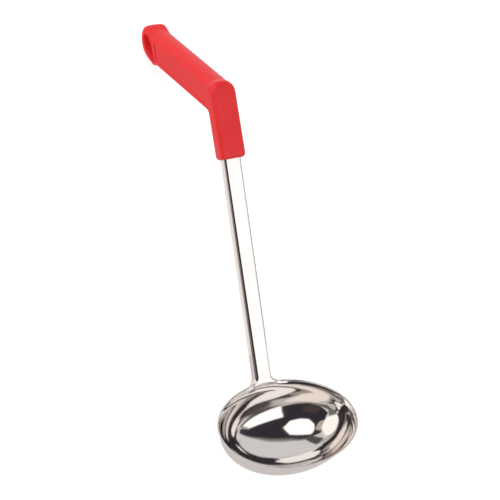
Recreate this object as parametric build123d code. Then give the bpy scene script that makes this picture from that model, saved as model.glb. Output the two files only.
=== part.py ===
from build123d import *
import os
from math import asin, cos, degrees, radians, sin, sqrt, tan

# Soup ladle with an oval bowl and a cranked hand grip, in millimetres.
# It is drawn about the bowl's rim, with the rim level, and then laid down as on a table,
# where it rests on its bowl and on the tail of its grip.

# Sheet of the steel pressing
sheet = 1.2

# Bowl, an oval that is longest across the shank
bowl_length = 117.0
bowl_width = 82.0
bowl_depth = 38.0
lip_flare = 2.6
lip_flare_depth = 8.0
lip_edge_share = 0.36
floor_flat_share = 0.04
wall_stations = 10
flare_stations = 4

# Shank, a channel that is open at the back
shank_lean = 45.0
shank_reach = 225.0
shank_width = 15.0
shank_depth = 6.2
shank_corner_radius = 2.3
shank_set_in = 3.0
root_radius = 7.0

# Tang, the flat end of the shank inside the grip
tang_side_setback = 1.5
tang_bend_radius = 9.0
tang_reach = 78.0
tang_depth = 9.0
channel_stop = 26.0
key_hole_radius = 2.5
key_hole_spacing = 32.0
key_hole_end_gap = 10.0
key_hole_count = 2

# Grip, moulded round the tang
grip_width = 21.4
grip_edge_radius = 3.0
sleeve_lean = 47.0
sleeve_length = 52.0
sleeve_depth = 11.6
sleeve_cover = 1.4
arch_rise = 3.6
arch_radius = 15.0
crown_radius = 2.0
crown_rise = 1.3
brow_along = 10.0
brow_radius = 14.0
arm_drop = 18.0
arm_length = 116.0
arm_height = 17.6
throat_radius = 4.0

# Tail of the grip, with the hanging eye
tail_flare_length = 13.0
tail_flare_rise = 3.9
tail_flare_radius = 20.0
tail_tip_radius = 5.6
tail_belly_along = 109.8
tail_belly_below = 17.4
tail_belly_radius = 21.0
tail_foot_along = 92.0
tail_foot_below = 21.5
tail_notch_along = 84.5
tail_foot_radius = 1.8
tail_notch_radius = 2.0
eye_tip_along = 105.0
eye_tip_below = -0.3
eye_foot_along = 87.2
eye_foot_below = 17.8
eye_outer_sag = 3.5
eye_inner_sag = 5.7

# Sunk panels in the two sides of the arm
panel_depth = 0.8
panel_top_gap = 0.2
panel_bottom_gap = 3.2
panel_front_along = 8.4
panel_back_along = 90.0
panel_front_lean = 10.5
panel_back_lean = 24.0
panel_corner_radius = 1.2

# Cuts run this far past what they cut
cut_overrun = 5.0
arch_overrun = 0.4
level_passes = 8


# Directions in the plane of symmetry
def leaning(angle):
    """Upwards, leaning back from the upright by an angle in degrees."""
    return Vector(0, sin(radians(angle)), cos(radians(angle)))


across = Vector(1, 0, 0)
along_shank = leaning(shank_lean)
behind_shank = leaning(shank_lean + 90)
along_sleeve = leaning(sleeve_lean)
behind_sleeve = leaning(sleeve_lean + 90)
along_arm = leaning(90 + arm_drop)
below_arm = leaning(180 + arm_drop)

# The foot is where the shank's face meets the rim plane, and the crank is the grip's outer corner
shank_foot = Vector(0, bowl_width / 2 - shank_set_in, 0)
crank = shank_foot + along_shank * shank_reach - behind_shank * sleeve_cover


def on_shank(along, behind):
    """A point of the plane of symmetry, measured from the foot of the shank's face."""
    return shank_foot + along_shank * along + behind_shank * behind


def on_arm(along, below):
    """A point of the plane of symmetry, measured from the crank along the top of the arm."""
    return crank + along_arm * along + below_arm * below


def meeting(start, direction, other_start, other_direction):
    """Where two lines of the plane of symmetry meet."""
    gap = other_start - start
    turn = direction.cross(other_direction).X
    return start + direction * (gap.cross(other_direction).X / turn)


# Bowl
def bowl_skin(half_length, half_width, depth):
    """A solid half ellipsoid that flares out to its rim, lofted through level ellipses."""
    steepest = asin(lip_flare_depth / depth)
    flattest = asin(sqrt(1 - floor_flat_share**2))
    sections = []
    for station in range(wall_stations):
        angle = flattest + (steepest - flattest) * station / wall_stations
        level = Plane.XY.offset(-depth * sin(angle))
        sections.append(level * Ellipse(half_length * cos(angle), half_width * cos(angle)))
    for station in range(flare_stations + 1):
        height_share = station / flare_stations
        below_rim = lip_flare_depth * (1 - height_share)
        wall_share = sqrt(1 - (below_rim / depth) ** 2)
        flare = lip_flare * height_share**2
        level = Plane.XY.offset(-below_rim)
        sections.append(level * Ellipse(half_length * wall_share + flare, half_width * wall_share + flare))
    return loft(sections)


def bowl_within(inset):
    """The half ellipsoid that lies an inset within the outside of the bowl."""
    wall_length = bowl_length / 2 - lip_flare - inset
    wall_width = bowl_width / 2 - lip_flare - inset
    return bowl_skin(wall_length, wall_width, bowl_depth - inset)


def bowl_shell():
    """The drawn bowl, one sheet thick, with a turned-out lip and a rounded edge."""
    shell = bowl_within(0) - bowl_within(sheet)
    rim_edges = shell.edges().group_by(Axis.Z)[-1]
    return fillet(rim_edges, sheet * lip_edge_share)


# Shank
def shank_channel():
    """The straight channel, from the bowl's lip to the end of its side flanges in the grip."""
    section_plane = Plane(origin=shank_foot, x_dir=across, z_dir=along_shank)
    outer = Pos(0, shank_depth / 2) * Rectangle(shank_width, shank_depth)
    front_corners = outer.vertices().group_by(Axis.Y)[0]
    outer = fillet(front_corners, shank_corner_radius)
    inner_depth = shank_depth + cut_overrun
    inner = Pos(0, sheet + inner_depth / 2) * Rectangle(shank_width - sheet * 2, inner_depth)
    inner_corners = inner.vertices().group_by(Axis.Y)[0]
    inner = fillet(inner_corners, shank_corner_radius - sheet)
    channel = extrude(section_plane * (outer - inner), shank_reach - channel_stop)
    below_lip = Box(
        shank_width * 2,
        (shank_depth + cut_overrun) * 2,
        shank_depth + cut_overrun,
        align=(Align.CENTER, Align.CENTER, Align.MAX),
    )
    return channel - Pos(0, shank_foot.Y, -sheet) * below_lip


def shank_root():
    """The part of the sheet that spreads from the shank's face into the lip."""
    face_plane = Plane(origin=shank_foot, x_dir=across, z_dir=-behind_shank)
    spread = shank_width + root_radius * 2
    plate = Pos(0, root_radius / 2) * Rectangle(spread, root_radius)
    for side in (-1, 1):
        plate -= Pos(side * spread / 2, root_radius) * Circle(root_radius)
    return extrude(face_plane * plate, -sheet)


def tang():
    """The flat strip that carries on from the channel, bends with the grip and runs along its arm."""
    strip_width = shank_width - tang_side_setback * 2
    start = on_shank(shank_reach - channel_stop - shank_depth, sheet / 2)
    end = on_arm(tang_reach, tang_depth)
    corner = meeting(start, along_shank, end, along_arm)
    path = FilletPolyline(start, corner, end, radius=tang_bend_radius)
    section_plane = Plane(origin=start, x_dir=across, z_dir=along_shank)
    strip = sweep(section_plane * Rectangle(strip_width, sheet), path=path)
    strip_plane = Plane(origin=end, x_dir=across, z_dir=-below_arm)
    drill = extrude(Circle(key_hole_radius), sheet, both=True)
    for hole in range(key_hole_count):
        from_end = key_hole_end_gap + hole * key_hole_spacing
        strip -= strip_plane * (Pos(0, -from_end) * drill)
    return strip


# Grip
def grip_corners():
    """The corners of the grip's outline in the plane of symmetry, each with its rounding."""
    sleeve_end = crank - along_sleeve * sleeve_length
    sleeve_back = sleeve_end + behind_sleeve * sleeve_depth
    crown = meeting(crank, along_sleeve, on_arm(0, -arch_rise - crown_rise), along_arm)
    notch = on_arm(tail_notch_along, arm_height)
    throat = meeting(sleeve_back, along_sleeve, notch, along_arm)
    return {
        "sleeve end": (sleeve_end, grip_edge_radius),
        "crown": (crown, crown_radius),
        "brow": (on_arm(brow_along, -arch_rise), brow_radius),
        "flare": (on_arm(arm_length - tail_flare_length, -arch_rise), tail_flare_radius),
        "tip": (on_arm(arm_length, -arch_rise - tail_flare_rise), tail_tip_radius),
        "belly": (on_arm(tail_belly_along, tail_belly_below), tail_belly_radius),
        "foot": (on_arm(tail_foot_along, tail_foot_below), tail_foot_radius),
        "notch": (notch, tail_notch_radius),
        "throat": (throat, throat_radius),
        "sleeve back": (sleeve_back, grip_edge_radius),
    }


def grip_side(corners):
    """The grip's outline in the plane of symmetry, as a face."""
    face = make_face(Polyline(*[point for point, radius in corners.values()], close=True))
    for point, radius in corners.values():
        corner = face.vertices().sort_by_distance(point)[0]
        face = fillet(corner, radius)
    return face


def arch_cut(side, corners):
    """What is cut off the top of the arm and the end of the tail to arch them from side to side."""
    crown, brow, belly, foot = [corners[name][0] for name in ("crown", "brow", "belly", "foot")]
    crest = []
    for edge in side.edges():
        reach = edge.center() - crank
        past_notch = reach.dot(along_arm) > tail_foot_along + tail_foot_radius
        on_top = reach.dot(below_arm) < 0 and reach.dot(along_arm) > crown_radius * 2
        if past_notch or on_top:
            crest.append(edge)
    ends = [Vector(vertex.X, vertex.Y, vertex.Z) for vertex in Wire(crest).vertices()]
    first = min(ends, key=lambda point: (point - crown).length)
    last = min(ends, key=lambda point: (point - foot).length)
    start = first - (brow - crown).normalized() * cut_overrun
    finish = last + (foot - belly).normalized() * cut_overrun
    path = Wire([Line(start, first).edge()] + crest + [Line(last, finish).edge()])
    arch_drop = arch_radius - sqrt(arch_radius**2 - (grip_width / 2) ** 2)
    depth = arch_drop + arch_overrun
    block = Pos(0, (depth - cut_overrun) / 2) * Rectangle(grip_width + cut_overrun * 2, depth + cut_overrun)
    section = block - Pos(0, arch_radius) * Circle(arch_radius)
    return sweep(Plane(origin=start, x_dir=across, z_dir=brow - crown) * section, path=path)


def eye_cut():
    """The hanging eye, a lens between two arcs that runs through the tail from side to side."""
    tip_end = on_arm(eye_tip_along, eye_tip_below)
    foot_end = on_arm(eye_foot_along, eye_foot_below)
    middle = (tip_end + foot_end) * 0.5
    outward = across.cross((foot_end - tip_end).normalized())
    lens = make_face(
        [
            ThreePointArc(tip_end, middle + outward * eye_outer_sag, foot_end),
            ThreePointArc(foot_end, middle - outward * eye_inner_sag, tip_end),
        ]
    )
    return extrude(lens, grip_width, both=True)


def panel_cuts():
    """The shallow sunk panels, whose ends lean towards the sleeve at the bottom."""
    top = panel_top_gap
    bottom = arm_height - panel_bottom_gap
    front_foot = panel_front_along - (bottom - top) * tan(radians(panel_front_lean))
    back_foot = panel_back_along - (bottom - top) * tan(radians(panel_back_lean))
    corners = [
        on_arm(panel_front_along, top),
        on_arm(panel_back_along, top),
        on_arm(back_foot, bottom),
        on_arm(front_foot, bottom),
    ]
    panel = make_face(Polyline(*corners, close=True))
    panel = fillet(panel.vertices(), panel_corner_radius)
    cuts = []
    for side in (-1, 1):
        floor = Pos(side * (grip_width / 2 - panel_depth), 0, 0) * panel
        cuts.append(extrude(floor, panel_depth + cut_overrun, dir=across * side))
    return cuts


def grip_moulding(steel):
    """The grip, with the tang's room, the eye and the panels taken out of it."""
    corners = grip_corners()
    side = grip_side(corners)
    body = extrude(side, grip_width / 2, both=True)
    side_edges = body.edges().filter_by(lambda edge: edge.bounding_box().size.X < sheet / 2)
    body = fillet(side_edges, grip_edge_radius)
    body -= arch_cut(side, corners)
    body -= eye_cut()
    for cut in panel_cuts():
        body -= cut
    return body - steel


# Resting place
def lying_place(steel, grip):
    """Where the ladle lies once its bowl and its tail touch the table together."""
    reach = on_arm(tail_belly_along, tail_belly_below).Y
    tilt = 0
    for _ in range(level_passes):
        low_bowl = (Rot(X=tilt) * steel).bounding_box().min.Z
        low_tail = (Rot(X=tilt) * grip).bounding_box().min.Z
        tilt += degrees((low_bowl - low_tail) / reach)
    turn = Rot(X=tilt)
    box = Compound([turn * steel, turn * grip]).bounding_box()
    return Pos(-box.center().X, -box.center().Y, -box.min.Z) * turn


# The handle's lower end stops halfway through the bowl's wall, half a sheet below the rim
handle = shank_root() + shank_channel() + tang() - Pos(0, 0, -sheet / 2) * bowl_within(sheet / 2)
steel = bowl_shell() + handle
grip = grip_moulding(steel)
place = lying_place(steel, grip)

os.makedirs("parts", exist_ok=True)
export_step(place * steel, "parts/bowl_and_shank.step")
export_step(place * grip, "parts/grip.step")
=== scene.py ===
from math import acos, asin, cos, pi, radians, sin, sqrt, tan

import bmesh
import bpy
from mathutils import Matrix, Vector


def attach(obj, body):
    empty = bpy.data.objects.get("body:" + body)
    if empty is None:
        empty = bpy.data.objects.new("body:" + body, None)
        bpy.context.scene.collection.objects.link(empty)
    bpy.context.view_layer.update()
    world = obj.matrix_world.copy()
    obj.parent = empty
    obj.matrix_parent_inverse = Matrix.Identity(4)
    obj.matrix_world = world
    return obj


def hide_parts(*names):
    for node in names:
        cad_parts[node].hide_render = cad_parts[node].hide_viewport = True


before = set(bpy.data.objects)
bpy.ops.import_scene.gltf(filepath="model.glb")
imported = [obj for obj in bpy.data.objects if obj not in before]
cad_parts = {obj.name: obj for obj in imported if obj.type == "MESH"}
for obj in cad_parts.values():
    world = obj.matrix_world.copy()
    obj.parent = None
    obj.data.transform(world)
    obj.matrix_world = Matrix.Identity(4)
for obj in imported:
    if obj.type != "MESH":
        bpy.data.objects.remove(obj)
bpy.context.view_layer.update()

# Sizes are in millimetres, in a frame of their own: the bowl's rim is level round the origin, x runs across
# the ladle, y runs from the bowl towards the shank and z runs up. lay() turns a point of that frame into
# metres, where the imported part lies.
MM = 0.001
LYING_TILT = radians(-27.9874)
LYING_Y = -145.086
LYING_Z = 38.0924

# Sizes of the bowl
SHEET = 1.2
BOWL_LENGTH = 117.0
BOWL_WIDTH = 82.0
BOWL_DEPTH = 38.0
FLARE = 2.6
FLARE_DEPTH = 8.0
FLARE_POWER = 2.7
LIP_DROP = 0.48
LIP_INSET = 0.2
LIP_LEAN = 0.3

# Sizes of the shank
SHANK_LEAN = 45.0
SHANK_REACH = 225.0
SHANK_WIDTH = 15.0
SHANK_DEPTH = 6.2
SHANK_ROUND_AT_BOWL = 3.4
SHANK_ROUND_AT_SLEEVE = 2.3
SLEEVE_MOUTH_HEIGHT = 120.0
SHANK_IN_GRIP = 34.0
FLANGE_TURN = 0.3
LEAST_SIDE = 0.08
LEAST_INNER_CORNER = 0.3
FOOT_INSET = 3.0
BEND_ALONG = 7.0
BEND_BELOW = 7.0
BEND_PULL_SHARE = 0.36
WALL_OVERLAP = 0.02
ROOT_ROUND = 7.0
ROOT_HEIGHT = 5.2
ROOT_CORNER = 0.5
ROOT_DEPTH_SHARE = 0.9
ROOT_LIP_SLOPE = 0.45
ROOT_THICKNESS_SHARE = 0.8

# Sizes of the grip
GRIP_WIDTH = 21.4
GRIP_COVER = 1.4
SLEEVE_LEAN = 47.0
SLEEVE_LENGTH = 52.0
SLEEVE_DEPTH = 11.6
ARM_LEAN = 108.0
ARM_LENGTH = 115.9
ARM_HEIGHT = 17.6
ARM_TAPER = 0.6
ARCH_RISE = 3.3
ARCH_ROUND = 15.5
CREASE_ROUND = 2.2
EDGE_ROUND = 3.0
LEAST_CORNER = 0.6
SLEEVE_END_ROUND = 3.3
CROWN_RISE = 2.3
CROWN_ROUND = 3.4
BROW_ALONG = 10.0
BROW_ROUND = 14.0
FLARE_ALONG = 13.0
FLARE_ROUND = 20.0
TIP_RISE = 5.2
TIP_ROUND = 5.6
TAIL_FLATNESS = 5
BELLY_ALONG = 109.8
BELLY_BELOW = 17.4
BELLY_ROUND = 21.0
HEEL_ALONG = 92.0
HEEL_BELOW = 21.5
HEEL_ROUND = 2.4
NOTCH_ALONG = 84.5
NOTCH_ROUND = 3.0
THROAT_ROUND = 4.0
EYE_TIP_ALONG = 105.0
EYE_TIP_BELOW = 0.0
EYE_FOOT_ALONG = 86.3
EYE_FOOT_BELOW = 17.4
EYE_OUTER_SAG = 5.3
EYE_INNER_SAG = 4.5
EYE_RIM = 0.7
DROP_POWER = 0.62
DROP_WIDEST = 0.340
PANEL_START = 8.4
PANEL_END = 90.0
PANEL_TOP = 0.2
PANEL_FLOOR_GAP = 3.2
PANEL_START_SLANT = 10.5
PANEL_END_SLANT = 24.0
PANEL_CORNER = 1.4
PANEL_SINK = 0.8
PANEL_DRAFT = 0.7
CUT_PAST = 2.0
CUT_PAST_GROWTH = 0.3
SHARP_ANGLE = 30


def lay(x, y, z):
    """A point of the ladle, in metres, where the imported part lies."""
    return Vector((
        x * MM,
        (LYING_Y + y * cos(LYING_TILT) - z * sin(LYING_TILT)) * MM,
        (LYING_Z + y * sin(LYING_TILT) + z * cos(LYING_TILT)) * MM,
    ))


def lay_direction(x, y, z):
    """A direction of the ladle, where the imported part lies."""
    return Vector((
        x,
        y * cos(LYING_TILT) - z * sin(LYING_TILT),
        y * sin(LYING_TILT) + z * cos(LYING_TILT),
    ))


def leaning(angle):
    """The direction in the plane of symmetry that leans by an angle, in degrees, from upright."""
    return Vector((0, sin(radians(angle)), cos(radians(angle))))


ALONG_SHANK = leaning(SHANK_LEAN)
BEHIND_SHANK = leaning(SHANK_LEAN + 90)
ALONG_SLEEVE = leaning(SLEEVE_LEAN)
BEHIND_SLEEVE = leaning(SLEEVE_LEAN + 90)
ALONG_ARM = leaning(ARM_LEAN)
BELOW_ARM = leaning(ARM_LEAN + 90)
FOOT = Vector((0, BOWL_WIDTH / 2 - FOOT_INSET, 0))
CRANK = FOOT + ALONG_SHANK * SHANK_REACH - BEHIND_SHANK * GRIP_COVER


def on_arm(along, below):
    """A point in the plane of symmetry: so far along the arm from the crank, and so far below its crease."""
    return CRANK + ALONG_ARM * along + BELOW_ARM * below


def meeting(first, first_way, second, second_way):
    """Where two lines in the plane of symmetry meet."""
    turn = first_way.cross(second_way).x
    return first + first_way * ((second - first).cross(second_way).x / turn)


def smooth(t):
    t = min(1.0, max(0.0, t))
    return t * t * (3 - 2 * t)


def bridged(rings, around):
    """The faces between rings of vertices, each ring joined to the next."""
    faces = []
    for ring in range(rings - 1):
        here, there = ring * around, (ring + 1) * around
        for k in range(around):
            n = (k + 1) % around
            faces.append((here + k, here + n, there + n, there + k))
    return faces


def bridged_and_closed(rings, around):
    """The faces between rings of vertices, and over the first and the last ring."""
    first = tuple(range(around))
    last = tuple(range((rings - 1) * around, rings * around))
    return bridged(rings, around) + [first, last]


def new_mesh(name, verts, faces, material):
    mesh = bpy.data.meshes.new(name)
    mesh.from_pydata([tuple(v) for v in verts], [], faces)
    mesh.validate()
    bm = bmesh.new()
    bm.from_mesh(mesh)
    bmesh.ops.remove_doubles(bm, verts=bm.verts, dist=1e-7)
    bmesh.ops.recalc_face_normals(bm, faces=bm.faces)
    bm.to_mesh(mesh)
    bm.free()
    mesh.materials.append(material)
    mesh.shade_smooth()
    piece = bpy.data.objects.new(name, mesh)
    bpy.context.scene.collection.objects.link(piece)
    return piece


# Materials
def new_material(name):
    material = bpy.data.materials.new(name)
    material.use_nodes = True
    tree = material.node_tree
    return material, tree, tree.nodes["Principled BSDF"]


def noise(tree, where, scale, detail):
    """A cloudy pattern through the piece."""
    texture = tree.nodes.new("ShaderNodeTexNoise")
    texture.inputs["Scale"].default_value = scale
    texture.inputs["Detail"].default_value = detail
    tree.links.new(where.outputs["Object"], texture.inputs["Vector"])
    return texture.outputs["Fac"]


def vary_roughness(tree, shader, pattern, smoothest, roughest):
    level = tree.nodes.new("ShaderNodeMapRange")
    level.inputs["From Min"].default_value = 0.3
    level.inputs["From Max"].default_value = 0.7
    level.inputs["To Min"].default_value = smoothest
    level.inputs["To Max"].default_value = roughest
    tree.links.new(pattern, level.inputs["Value"])
    tree.links.new(level.outputs["Result"], shader.inputs["Roughness"])


def bump(tree, pattern, strength, distance):
    relief = tree.nodes.new("ShaderNodeBump")
    relief.inputs["Strength"].default_value = strength
    relief.inputs["Distance"].default_value = distance
    tree.links.new(pattern, relief.inputs["Height"])
    return relief


def steel_material():
    """Polished steel with a faint haze and the slightest ripple."""
    material, tree, shader = new_material("polished_steel")
    shader.inputs["Base Color"].default_value = (0.80, 0.755, 0.735, 1)
    shader.inputs["Metallic"].default_value = 1.0
    where = tree.nodes.new("ShaderNodeTexCoord")
    haze = noise(tree, where, scale=60, detail=4)
    vary_roughness(tree, shader, haze, smoothest=0.065, roughest=0.105)
    ripple = bump(tree, noise(tree, where, scale=45, detail=2), strength=0.04, distance=0.0004)
    tree.links.new(ripple.outputs["Normal"], shader.inputs["Normal"])
    return material


def grip_material():
    """Satin red plastic with a fine grain over a soft swell."""
    material, tree, shader = new_material("grip_plastic")
    shader.inputs["Specular IOR Level"].default_value = 0.4
    where = tree.nodes.new("ShaderNodeTexCoord")
    cloud = noise(tree, where, scale=70, detail=5)
    tint = tree.nodes.new("ShaderNodeValToRGB")
    deeper, lighter = tint.color_ramp.elements
    deeper.position = 0.3
    deeper.color = (0.87, 0.013, 0.018, 1)
    lighter.position = 0.7
    lighter.color = (0.91, 0.017, 0.022, 1)
    tree.links.new(cloud, tint.inputs["Fac"])
    tree.links.new(tint.outputs["Color"], shader.inputs["Base Color"])
    vary_roughness(tree, shader, cloud, smoothest=0.34, roughest=0.44)
    grain = bump(tree, noise(tree, where, scale=900, detail=3), strength=0.12, distance=0.0002)
    swell = bump(tree, noise(tree, where, scale=60, detail=1), strength=0.25, distance=0.0006)
    tree.links.new(swell.outputs["Normal"], grain.inputs["Normal"])
    tree.links.new(grain.outputs["Normal"], shader.inputs["Normal"])
    return material


STEEL = steel_material()
PLASTIC = grip_material()

# Bowl. Each skin of the sheet has a depth, a half length and a half width.
OUTER_SKIN = (BOWL_DEPTH, BOWL_LENGTH / 2 - FLARE, BOWL_WIDTH / 2 - FLARE)
INNER_SKIN = (BOWL_DEPTH - SHEET, OUTER_SKIN[1] - SHEET, OUTER_SKIN[2] - SHEET)


def level_oval(skin, below):
    """Half length and half width of a skin at a depth below the rim."""
    depth, half_length, half_width = skin
    share = sqrt(max(0.0, 1 - (below / depth) ** 2))
    flare = FLARE * max(0.0, 1 - below / FLARE_DEPTH) ** FLARE_POWER
    return half_length * share + flare, half_width * share + flare


def skin_stations(skin, deep_steps=60, flare_steps=28):
    """Half length, half width and height of level ovals, from the bottom up to the rim."""
    rows = []
    steepest = asin(FLARE_DEPTH / skin[0])
    for step in range(1, deep_steps + 1):
        angle = pi / 2 + (steepest - pi / 2) * step / deep_steps
        below = skin[0] * sin(angle)
        rows.append((*level_oval(skin, below), -below))
    for step in range(1, flare_steps + 1):
        below = FLARE_DEPTH * (1 - step / flare_steps)
        rows.append((*level_oval(skin, below), -below))
    return rows


def lip_stations(outside, inside, steps=12):
    """Half length, half width and height of level ovals round the edge of the lip, from outside to inside."""
    middle_length = (outside[0] + inside[0]) / 2 - LIP_INSET
    middle_width = (outside[1] + inside[1]) / 2 - LIP_INSET
    rows = []
    for step in range(steps + 1):
        angle = pi * step / steps
        shift = cos(angle) * SHEET / 2 - LIP_LEAN * (1 - sin(angle))
        rows.append((middle_length + shift, middle_width + shift, -LIP_DROP * (1 - sin(angle))))
    return rows


def make_bowl(around=320):
    """The drawn bowl as one closed skin, with its lip rounded over."""
    outside = skin_stations(OUTER_SKIN)
    inside = skin_stations(INNER_SKIN)
    rows = [row for row in outside if row[2] < -LIP_DROP]
    rows += lip_stations(outside[-1], inside[-1])
    rows += [row for row in reversed(inside) if row[2] < -LIP_DROP]
    verts = []
    for half_length, half_width, height in rows:
        for k in range(around):
            angle = 2 * pi * k / around
            verts.append(lay(half_length * cos(angle), half_width * sin(angle), height))
    faces = bridged(len(rows), around)
    outer_bottom = len(verts)
    inner_bottom = outer_bottom + 1
    verts.append(lay(0, 0, -BOWL_DEPTH))
    verts.append(lay(0, 0, -BOWL_DEPTH + SHEET))
    last = (len(rows) - 1) * around
    for k in range(around):
        n = (k + 1) % around
        faces.append((outer_bottom, n, k))
        faces.append((inner_bottom, last + k, last + n))
    return new_mesh("bowl", verts, faces, STEEL)


# Shank
def front_line(straight_steps=60, bend_steps=28, sunk_steps=6, sunk_step=0.7, sink_step=0.03):
    """Points down the middle of the shank's front, from inside the grip to inside the bowl's wall."""
    points = []
    top = SHANK_REACH - SHANK_IN_GRIP
    for step in range(straight_steps + 1):
        points.append(FOOT + ALONG_SHANK * (top + (BEND_ALONG - top) * step / straight_steps))
    start = FOOT + ALONG_SHANK * BEND_ALONG
    end = Vector((0, level_oval(INNER_SKIN, BEND_BELOW)[1] - WALL_OVERLAP, -BEND_BELOW))
    look_ahead = 0.5
    deeper = BEND_BELOW + look_ahead
    end_way = (Vector((0, level_oval(INNER_SKIN, deeper)[1], -deeper)) - end).normalized()
    pull = (end - start).length * BEND_PULL_SHARE
    start_pull = start - ALONG_SHANK * pull
    end_pull = end - end_way * pull
    for step in range(1, bend_steps + 1):
        t = step / bend_steps
        points.append(
            start * (1 - t) ** 3
            + start_pull * 3 * t * (1 - t) ** 2
            + end_pull * 3 * t * t * (1 - t)
            + end * t ** 3
        )
    for step in range(1, sunk_steps + 1):
        below = BEND_BELOW + step * sunk_step
        y = level_oval(INNER_SKIN, below)[1] - WALL_OVERLAP + step * sink_step
        points.append(Vector((0, y, -below)))
    return points


def root_spread(height):
    """How far each edge of the shank spreads sideways at a height over the rim, to run into the lip."""
    rise = min(1.0, max(0.0, height / ROOT_HEIGHT))
    return ROOT_ROUND * (1 - sqrt(max(0.0, 1 - (1 - rise) ** 2)))


def channel_section(half, corner, depth):
    """The channel all round: distance across, and depth behind the front."""
    front_steps, corner_steps, side_steps, turn_steps, back_steps = 14, 8, 8, 4, 6
    section = []
    for k in range(front_steps + 1):
        section.append(((half - corner) * k / front_steps, 0.0))
    for k in range(1, corner_steps + 1):
        angle = pi / 2 * k / corner_steps
        section.append((half - corner + corner * sin(angle), corner * (1 - cos(angle))))
    side_length = depth - FLANGE_TURN - corner
    if side_length <= 0:
        side_length = LEAST_SIDE
    for k in range(1, side_steps + 1):
        section.append((half, corner + side_length * k / side_steps))
    side_end = corner + side_length
    for k in range(1, turn_steps):
        angle = pi * k / turn_steps
        section.append((half - SHEET / 2 + SHEET / 2 * cos(angle), side_end + FLANGE_TURN * sin(angle)))
    inner_half = half - SHEET
    inner_corner = max(LEAST_INNER_CORNER, corner - SHEET)
    inner_top = min(SHEET + inner_corner, side_end)
    for k in range(side_steps + 1):
        section.append((inner_half, side_end + (inner_top - side_end) * k / side_steps))
    for k in range(1, turn_steps + 1):
        angle = pi / 2 * k / turn_steps
        x = inner_half - inner_corner + inner_corner * cos(angle)
        behind = SHEET + inner_corner - inner_corner * sin(angle)
        section.append((x, min(behind, max(side_end, SHEET))))
    for k in range(1, back_steps + 1):
        section.append(((inner_half - inner_corner) * (1 - k / back_steps), SHEET))
    return section + [(-x, behind) for x, behind in reversed(section[1:-1])]


def root_y(x, y, height, behind, spread):
    """Where a point of the shank comes to lie as the root follows the rim's oval and runs into the lip."""
    half_length, half_width = level_oval(INNER_SKIN, max(0.0, -height))
    oval = half_width * sqrt(max(0.0, 1 - (x / half_length) ** 2)) - half_width
    merge = smooth(1 - min(1.0, max(0.0, height / ROOT_HEIGHT)))
    y += oval * merge
    if spread == 0:
        return y
    lip = half_width + oval
    if height > 0:
        lip = BOWL_WIDTH / 2 - SHEET + ROOT_LIP_SLOPE * height + oval
    aside = smooth((abs(x) - SHANK_WIDTH / 2) / ROOT_ROUND) * merge
    return y * (1 - aside) + (lip + behind * ROOT_THICKNESS_SHARE) * aside


def make_shank():
    """The channel down to the rim, where it flattens, spreads and runs into the bowl."""
    points = front_line()
    verts = []
    for i, point in enumerate(points):
        way = (points[min(i + 1, len(points) - 1)] - points[max(i - 1, 0)]).normalized()
        backward = Vector((0, -way.z, way.y))
        if backward.y < 0:
            backward = -backward
        spread = root_spread(point.z)
        tuck = smooth(spread / ROOT_ROUND)
        climbed = min(1.0, max(0.0, point.z) / SLEEVE_MOUTH_HEIGHT)
        corner = SHANK_ROUND_AT_BOWL + (SHANK_ROUND_AT_SLEEVE - SHANK_ROUND_AT_BOWL) * climbed
        corner = corner * (1 - tuck) + ROOT_CORNER * tuck
        depth = SHANK_DEPTH * (1 - tuck) + SHEET * ROOT_DEPTH_SHARE * tuck
        section = channel_section(SHANK_WIDTH / 2 + spread, corner, depth)
        for x, behind in section:
            place = point + backward * behind
            verts.append(lay(x, root_y(x, place.y, point.z, behind, spread), place.z))
    return new_mesh("shank", verts, bridged_and_closed(len(points), len(section)), STEEL)


# Grip
def grip_corners():
    """The grip's corners: point, rounding, change of the rounding with the drop, and the run that follows."""
    sleeve_end = CRANK - ALONG_SLEEVE * SLEEVE_LENGTH
    sleeve_back = sleeve_end + BEHIND_SLEEVE * SLEEVE_DEPTH
    crown = meeting(CRANK, ALONG_SLEEVE, on_arm(0, -ARCH_RISE - CROWN_RISE), ALONG_ARM)
    notch = on_arm(NOTCH_ALONG, ARM_HEIGHT)
    underside = on_arm(0, ARM_HEIGHT + ARM_TAPER) - notch
    throat = meeting(sleeve_back, ALONG_SLEEVE, notch, underside)
    return [
        (sleeve_end, SLEEVE_END_ROUND, -1.0, "edge"),
        (crown, CROWN_ROUND, 1.2, "arch"),
        (on_arm(BROW_ALONG, -ARCH_RISE), BROW_ROUND, 1.0, "arch"),
        (on_arm(ARM_LENGTH - FLARE_ALONG, -ARCH_RISE), FLARE_ROUND, -3.2, "tail"),
        (on_arm(ARM_LENGTH, -ARCH_RISE - TIP_RISE), TIP_ROUND, -0.63, "arch"),
        (on_arm(BELLY_ALONG, BELLY_BELOW), BELLY_ROUND, -1.6, "arch"),
        (on_arm(HEEL_ALONG, HEEL_BELOW), HEEL_ROUND, -1.0, "edge"),
        (notch, NOTCH_ROUND, 1.0, "edge"),
        (throat, THROAT_ROUND, 1.0, "edge"),
        (sleeve_back, SLEEVE_END_ROUND, -1.0, "edge"),
    ]


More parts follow.
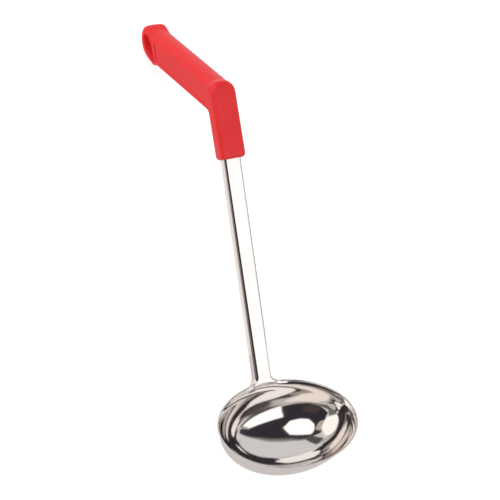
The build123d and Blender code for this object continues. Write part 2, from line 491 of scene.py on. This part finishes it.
def arch_stations(arch_steps=10, crease_steps=8):
    """Stations from the middle to the side: distance across, drop of the arch, drop of a rounded edge."""
    half = GRIP_WIDTH / 2
    centre_radius = ARCH_ROUND - CREASE_ROUND
    centre_across = half - CREASE_ROUND
    centre_drop = ARCH_ROUND - sqrt(centre_radius ** 2 - centre_across ** 2)
    touch = asin(centre_across / centre_radius)
    arched = []
    for k in range(1, arch_steps + 1):
        angle = touch * k / arch_steps
        arched.append((ARCH_ROUND * sin(angle), ARCH_ROUND * (1 - cos(angle))))
    for k in range(1, crease_steps + 1):
        angle = touch + (pi / 2 - touch) * k / crease_steps
        arched.append((centre_across + CREASE_ROUND * sin(angle), centre_drop - CREASE_ROUND * cos(angle)))
    rows = []
    for x, arch in arched:
        past = max(0.0, x - (half - EDGE_ROUND))
        rows.append((x, arch, EDGE_ROUND - sqrt(max(0.0, EDGE_ROUND ** 2 - past ** 2))))
    return rows


def corner_arc(point, before, after, radius, steps, most_share=0.8):
    """Points round a corner, which leaves some straight length on the run to each neighbour."""
    to_before, to_after = before - point, after - point
    backward, onward = to_before.normalized(), to_after.normalized()
    half_angle = acos(max(-1.0, min(1.0, backward.dot(onward)))) / 2
    back = min(radius / tan(half_angle), most_share * to_before.length, most_share * to_after.length)
    radius = back * tan(half_angle)
    centre = point + (backward + onward).normalized() * (radius / sin(half_angle))
    first, last = point + backward * back - centre, point + onward * back - centre
    axis = first.cross(last).normalized()
    swing = acos(max(-1.0, min(1.0, first.normalized().dot(last.normalized()))))
    return [centre + Matrix.Rotation(swing * k / steps, 3, axis) @ first for k in range(steps + 1)]


def grip_outline(corners, across_share, arch, edge, corner_steps=12, run_steps=12):
    """The grip's outline at one distance across: every run moved in, and the corners rounded again."""
    lines = []
    for i, (point, _, _, run) in enumerate(corners):
        way = (corners[(i + 1) % len(corners)][0] - point).normalized()
        inward = Vector((0, way.z, -way.y))
        drop = {"arch": arch, "edge": edge, "tail": arch * across_share ** TAIL_FLATNESS}[run]
        lines.append((point + inward * drop, way, drop))
    moved = [meeting(*lines[i - 1][:2], *lines[i][:2]) for i in range(len(lines))]
    arcs = []
    for i, (_, radius, change, _) in enumerate(corners):
        drop = max(lines[i - 1][2], lines[i][2])
        radius = max(LEAST_CORNER, radius + drop * change)
        arcs.append(corner_arc(moved[i], moved[i - 1], moved[(i + 1) % len(moved)], radius, corner_steps))
    outline = []
    for i, arc in enumerate(arcs):
        after = arcs[(i + 1) % len(arcs)][0]
        outline += arc
        outline += [arc[-1].lerp(after, k / run_steps) for k in range(1, run_steps)]
    return outline


def rounded(points, radius, steps=8):
    """A closed outline with all its corners rounded alike."""
    outline = []
    for i, point in enumerate(points):
        outline += corner_arc(point, points[i - 1], points[(i + 1) % len(points)], radius, steps)
    return outline


def drop_outline(tip, foot, outer_sag, inner_sag, steps=24):
    """The hanging eye's outline: round at the tip, narrow at the foot."""
    middle = (tip + foot) / 2
    chord = (foot - tip).normalized()
    outward = Vector((1, 0, 0)).cross(chord)
    half_chord = (foot - tip).length / 2
    outline = []
    for sag, start in ((outer_sag, -1), (-inner_sag, 1)):
        for k in range(steps):
            t = start * cos(pi * k / steps)
            share = ((1 + t) / 2) ** DROP_POWER * (1 - t) / 2 / DROP_WIDEST
            outline.append(middle + chord * half_chord * t + outward * sag * share)
    return outline


def prism(name, outline, levels):
    """A cutter: the outline at each level across, grown by that level's amount away from its middle."""
    middle = sum(outline, Vector((0, 0, 0))) / len(outline)
    verts = []
    for x, growth in levels:
        for i, point in enumerate(outline):
            along = (outline[(i + 1) % len(outline)] - outline[i - 1]).normalized()
            outward = Vector((0, -along.z, along.y))
            if outward.dot(point - middle) < 0:
                outward = -outward
            grown = point + outward * growth
            verts.append(lay(x, grown.y, grown.z))
    return new_mesh(name, verts, bridged_and_closed(len(levels), len(outline)), PLASTIC)


def work_in_modifiers(piece):
    bpy.context.view_layer.update()
    shape = bpy.data.meshes.new_from_object(piece.evaluated_get(bpy.context.evaluated_depsgraph_get()))
    piece.modifiers.clear()
    piece.data = shape


def cut_with(piece, cutter):
    cut = piece.modifiers.new("cut", "BOOLEAN")
    cut.operation = "DIFFERENCE"
    cut.solver = "EXACT"
    cut.object = cutter
    work_in_modifiers(piece)
    bpy.data.objects.remove(cutter)


def eye_cutter(rim_steps=5):
    """Cuts the eye through the tail, with a rounded mouth on each side."""
    half = GRIP_WIDTH / 2
    tip = on_arm(EYE_TIP_ALONG, EYE_TIP_BELOW)
    foot = on_arm(EYE_FOOT_ALONG, EYE_FOOT_BELOW)
    outline = drop_outline(tip, foot, EYE_OUTER_SAG, EYE_INNER_SAG)
    mouth = []
    for k in range(rim_steps + 1):
        angle = pi / 2 * k / rim_steps
        mouth.append((half - EYE_RIM + EYE_RIM * sin(angle), EYE_RIM * (1 - cos(angle))))
    mouth.append((half + CUT_PAST, EYE_RIM + CUT_PAST_GROWTH))
    return prism("eye_cutter", outline, [(-x, growth) for x, growth in reversed(mouth)] + mouth)


def panel_cutter(side):
    """Cuts the sunk panel into one side of the arm, wider at the surface than at its floor."""
    half = GRIP_WIDTH / 2
    bottom = ARM_HEIGHT - PANEL_FLOOR_GAP
    deep = bottom - PANEL_TOP
    outline = rounded(
        [
            on_arm(PANEL_START, PANEL_TOP),
            on_arm(PANEL_END, PANEL_TOP),
            on_arm(PANEL_END - deep * tan(radians(PANEL_END_SLANT)), bottom),
            on_arm(PANEL_START - deep * tan(radians(PANEL_START_SLANT)), bottom),
        ],
        PANEL_CORNER,
    )
    floor = (side * (half - PANEL_SINK), 0.0)
    surface = (side * (half + PANEL_SINK), PANEL_DRAFT)
    return prism("panel_cutter", outline, [floor, surface])


def make_grip():
    """The moulding, from side to side in levels, with its eye and its two panels cut out."""
    corners = grip_corners()
    stations = arch_stations()
    levels = [(-x, arch, edge) for x, arch, edge in reversed(stations)]
    levels += [(0.0, 0.0, 0.0)] + stations
    verts = []
    for x, arch, edge in levels:
        outline = grip_outline(corners, abs(x) / (GRIP_WIDTH / 2), arch, edge)
        verts += [lay(x, point.y, point.z) for point in outline]
    grip = new_mesh("grip_body", verts, bridged_and_closed(len(levels), len(outline)), PLASTIC)
    cut_with(grip, eye_cutter())
    for side in (-1, 1):
        cut_with(grip, panel_cutter(side))
    grip.data.shade_smooth()
    grip.data.set_sharp_from_angle(angle=radians(SHARP_ANGLE))
    even = grip.modifiers.new("even", "WEIGHTED_NORMAL")
    even.keep_sharp = True
    work_in_modifiers(grip)
    return grip


bowl = make_bowl()
shank = make_shank()
grip = make_grip()
for piece in (bowl, shank):
    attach(piece, "root")
    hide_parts("bowl_and_shank")
grip.visible_glossy = False
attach(grip, "root")
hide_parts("grip")

# The studio. From here on, sizes and places are in metres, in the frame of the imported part.
TABLE_REACH = 6.0
BOWL_Y = -0.145
WALL_RADIUS = 4.2
FLOOR_CLEARANCE = 0.001


def make_table():
    """A pale table that glows for the camera, and less for everything else, and still takes shadows."""
    mesh = bpy.data.meshes.new("table")
    corners = [(x * TABLE_REACH, y * TABLE_REACH, 0) for x, y in ((-1, -1), (1, -1), (1, 1), (-1, 1))]
    mesh.from_pydata(corners, [], [(0, 1, 2, 3)])
    table = bpy.data.objects.new("table", mesh)
    bpy.context.scene.collection.objects.link(table)
    white, tree, shader = new_material("table_white")
    shader.inputs["Base Color"].default_value = (0.56, 0.56, 0.56, 1)
    shader.inputs["Roughness"].default_value = 0.7
    shader.inputs["Specular IOR Level"].default_value = 0.1
    path = tree.nodes.new("ShaderNodeLightPath")
    seen = tree.nodes.new("ShaderNodeEmission")
    seen.inputs["Strength"].default_value = 0.72
    unseen = tree.nodes.new("ShaderNodeEmission")
    unseen.inputs["Color"].default_value = (1.0, 0.93, 0.90, 1)
    unseen.inputs["Strength"].default_value = 0.30
    pick = tree.nodes.new("ShaderNodeMixShader")
    added = tree.nodes.new("ShaderNodeAddShader")
    tree.links.new(path.outputs["Is Camera Ray"], pick.inputs["Fac"])
    tree.links.new(unseen.outputs["Emission"], pick.inputs[1])
    tree.links.new(seen.outputs["Emission"], pick.inputs[2])
    tree.links.new(shader.outputs["BSDF"], added.inputs[0])
    tree.links.new(pick.outputs["Shader"], added.inputs[1])
    tree.links.new(added.outputs["Shader"], tree.nodes["Material Output"].inputs["Surface"])
    mesh.materials.append(white)


def make_sky():
    world = bpy.data.worlds.new("studio")
    bpy.context.scene.world = world
    world.use_nodes = True
    sky = world.node_tree.nodes["Background"]
    sky.inputs["Color"].default_value = (1, 1, 1, 1)
    sky.inputs["Strength"].default_value = 0.75


def make_lamp(name, place, target, size, watts):
    """A soft square lamp that mirrors don't see."""
    data = bpy.data.lights.new(name, "AREA")
    data.shape = "SQUARE"
    data.size = size
    data.energy = watts
    lamp = bpy.data.objects.new(name, data)
    lamp.location = place
    lamp.rotation_euler = (Vector(target) - Vector(place)).to_track_quat("-Z", "Y").to_euler()
    lamp.visible_glossy = False
    bpy.context.scene.collection.objects.link(lamp)


make_table()
make_sky()
make_lamp("key", place=(-0.6, 1.4, 0.85), target=(0, 0, 0.05), size=1.4, watts=7.5)


# Panels of the studio that only mirrors see
def glossy_panel(name, points, faces, colour, strength):
    mesh = bpy.data.meshes.new(name)
    mesh.from_pydata(points, [], faces)
    panel = bpy.data.objects.new(name, mesh)
    bpy.context.scene.collection.objects.link(panel)
    look = bpy.data.materials.new(name)
    look.use_nodes = True
    look.node_tree.nodes.clear()
    glow = look.node_tree.nodes.new("ShaderNodeEmission")
    glow.inputs["Color"].default_value = (*colour, 1)
    glow.inputs["Strength"].default_value = strength
    out = look.node_tree.nodes.new("ShaderNodeOutputMaterial")
    look.node_tree.links.new(glow.outputs["Emission"], out.inputs["Surface"])
    mesh.materials.append(look)
    panel.visible_camera = False
    panel.visible_diffuse = False
    panel.visible_shadow = False
    panel.visible_transmission = False


def card(name, corners, height, colour, strength=1.0, rim_height=0.02):
    """A flat panel at a height over the bowl's rim; its corners are shares of that height."""
    points = [(x * height, BOWL_Y + y * height, height + rim_height) for x, y in corners]
    glossy_panel(name, points, [tuple(range(len(points)))], colour, strength)


def round_card(name, stations, height, colour):
    """A flat panel over the bowl; each corner is a bearing in degrees and a share of its height."""
    corners = []
    for bearing, share in stations:
        corners.append((share * cos(radians(bearing)), share * sin(radians(bearing))))
    card(name, corners, height, colour)


def wall(name, stations, colour, strength=1.0, rim_height=0.03):
    """A panel that stands round the bowl; each station is a bearing and two elevations, in degrees."""
    points = []
    for bearing, low, high in stations:
        x = WALL_RADIUS * cos(radians(bearing))
        y = WALL_RADIUS * sin(radians(bearing)) + BOWL_Y
        points.append((x, y, WALL_RADIUS * tan(radians(low)) + rim_height))
        points.append((x, y, WALL_RADIUS * tan(radians(high)) + rim_height))
    faces = [(2 * k, 2 * k + 2, 2 * k + 3, 2 * k + 1) for k in range(len(stations) - 1)]
    glossy_panel(name, points, faces, colour, strength)


def floor_strip(name, left, right, near, far, colour):
    """A panel that lies on the table beside the shank."""
    corners = ((left, near), (right, near), (right, far), (left, far))
    glossy_panel(name, [(x, y, FLOOR_CLEARANCE) for x, y in corners], [(0, 1, 2, 3)], colour, 1.0)


CEILING_HEIGHT = 4.5
FRINGE_GAP = 0.02
SHELF_HEIGHT = 4.3
BOX_HEIGHT = 4.45
BOX_END_GAP = 0.01
BOX_STRENGTH = 1.35
BLACK = (0.036, 0.033, 0.042)
WHITE = (1.0, 1.0, 1.0)
DARK_EDGE_SHARES = [
    (-30, 1.90), (-12, 2.60), (-3, 2.20), (4, 1.35), (20, 0.78), (40, 0.62), (60, 0.56), (80, 0.62),
    (95, 0.90), (110, 1.20), (122, 1.75), (132, 1.60), (160, 1.50), (172, 1.60), (180, 2.10), (200, 1.75),
    (220, 1.55), (240, 1.40), (262, 1.45), (280, 1.80), (300, 1.80), (318, 1.80),
]
SHELF_SHARES = [(198, 0.80), (212, 0.70), (232, 0.62), (236, 0.90), (225, 1.30), (200, 1.60)]
SMALL_BOX_SHARES = [
    (0.155, 0.085), (-0.028, -0.117), (-0.264, -0.11), (-0.50, 0.02), (-0.638, 0.366),
    (-0.60, 0.75), (-0.45, 0.95), (-0.10, 0.62), (0.086, 0.461),
]
LONG_BOX_SHARES = [
    (0.10, -0.34), (1.15, -0.26), (2.00, -0.66), (1.60, -1.30), (0.75, -1.40), (0.22, -1.20),
]
LONG_BOX_END_SHARES = [(1.10, -0.28), (1.20, -0.20), (2.10, -0.46), (2.05, -0.72)]
WINDOW = [(119, 0, 18), (127, 0, 27), (135, 0, 36), (158, 0, 36), (168, 0, 30)]


def soft_edged_ceiling():
    """The dark ceiling, and over it wider and paler ones that soften its edge over the shank."""
    round_card("dark_ceiling", DARK_EDGE_SHARES, CEILING_HEIGHT, BLACK)
    for step, (wider_share, level) in enumerate(((0.07, 0.10), (0.15, 0.22), (0.24, 0.38))):
        fringe = []
        for bearing, share in DARK_EDGE_SHARES:
            fringe.append((bearing, share + wider_share if 0 <= bearing <= 95 else share))
        height = CEILING_HEIGHT + FRINGE_GAP * (step + 1)
        round_card("ceiling_fringe_%d" % step, fringe, height, (level, level * 0.97, level * 0.95))


soft_edged_ceiling()
round_card("brown_shelf", SHELF_SHARES, SHELF_HEIGHT, (0.075, 0.060, 0.057))
card("eight_sided_box", SMALL_BOX_SHARES, BOX_HEIGHT, WHITE, BOX_STRENGTH)
card("long_box", LONG_BOX_SHARES, BOX_HEIGHT, WHITE, BOX_STRENGTH)
card("long_box_end", LONG_BOX_END_SHARES, BOX_HEIGHT + BOX_END_GAP, (0.40, 0.39, 0.38))
wall("window", WINDOW, (1.0, 0.965, 0.92), 1.25)
wall("over_window", [(129, 33, 42), (136, 36, 48), (152, 36, 48), (160, 36, 42)], (0.55, 0.49, 0.43))
wall("dark_post", [(99, 13, 45), (113, 13, 43)], (0.10, 0.09, 0.085))
wall("low_wall_left", [(171, 0, 25), (182, 0, 24), (190, 0, 22)], (0.20, 0.182, 0.17))
wall("low_wall_middle", [(190, 0, 22), (200, 0, 27), (210, 0, 32)], (0.14, 0.128, 0.12))
wall("low_wall", [(210, 0, 32), (225, 0, 36), (240, 0, 36), (262, 0, 35)], (0.28, 0.255, 0.235))
wall("pale_wall", [(262, 0, 30), (300, 0, 28)], (0.45, 0.43, 0.41))
floor_strip("pale_strip", -0.080, -0.015, -0.085, 0.083, (1.0, 0.98, 0.92))
floor_strip("dark_strip", 0.010, 0.300, -0.085, 0.083, (0.030, 0.026, 0.022))

# The camera, as it stood for the photo. The first four are in pixels of the photo.
PHOTO_SIDE = 500
FOCAL_LENGTH = 2317
MIDDLE_RIGHT = -17.08
MIDDLE_UP = 10.63
DISTANCE_IN_METRES = 1.71458
SENSOR_IN_MM = 36


def make_camera():
    right = lay_direction(0.8514, -0.4565, 0.2585)
    up = lay_direction(0.1799, 0.7170, 0.6735)
    back = lay_direction(-0.4928, -0.5269, 0.6925)
    target = lay(0, 85.4, 88.8)
    data = bpy.data.cameras.new("camera")
    data.sensor_width = SENSOR_IN_MM
    data.lens = SENSOR_IN_MM * FOCAL_LENGTH / PHOTO_SIDE
    data.shift_x = MIDDLE_RIGHT / PHOTO_SIDE
    data.shift_y = MIDDLE_UP / PHOTO_SIDE
    camera = bpy.data.objects.new("camera", data)
    turn = Matrix((right, up, back)).transposed().to_4x4()
    place = target + back.normalized() * DISTANCE_IN_METRES
    camera.matrix_world = Matrix.Translation(place) @ turn
    bpy.context.scene.collection.objects.link(camera)
    bpy.context.scene.camera = camera


make_camera()
bpy.context.scene.view_settings.view_transform = "Standard"
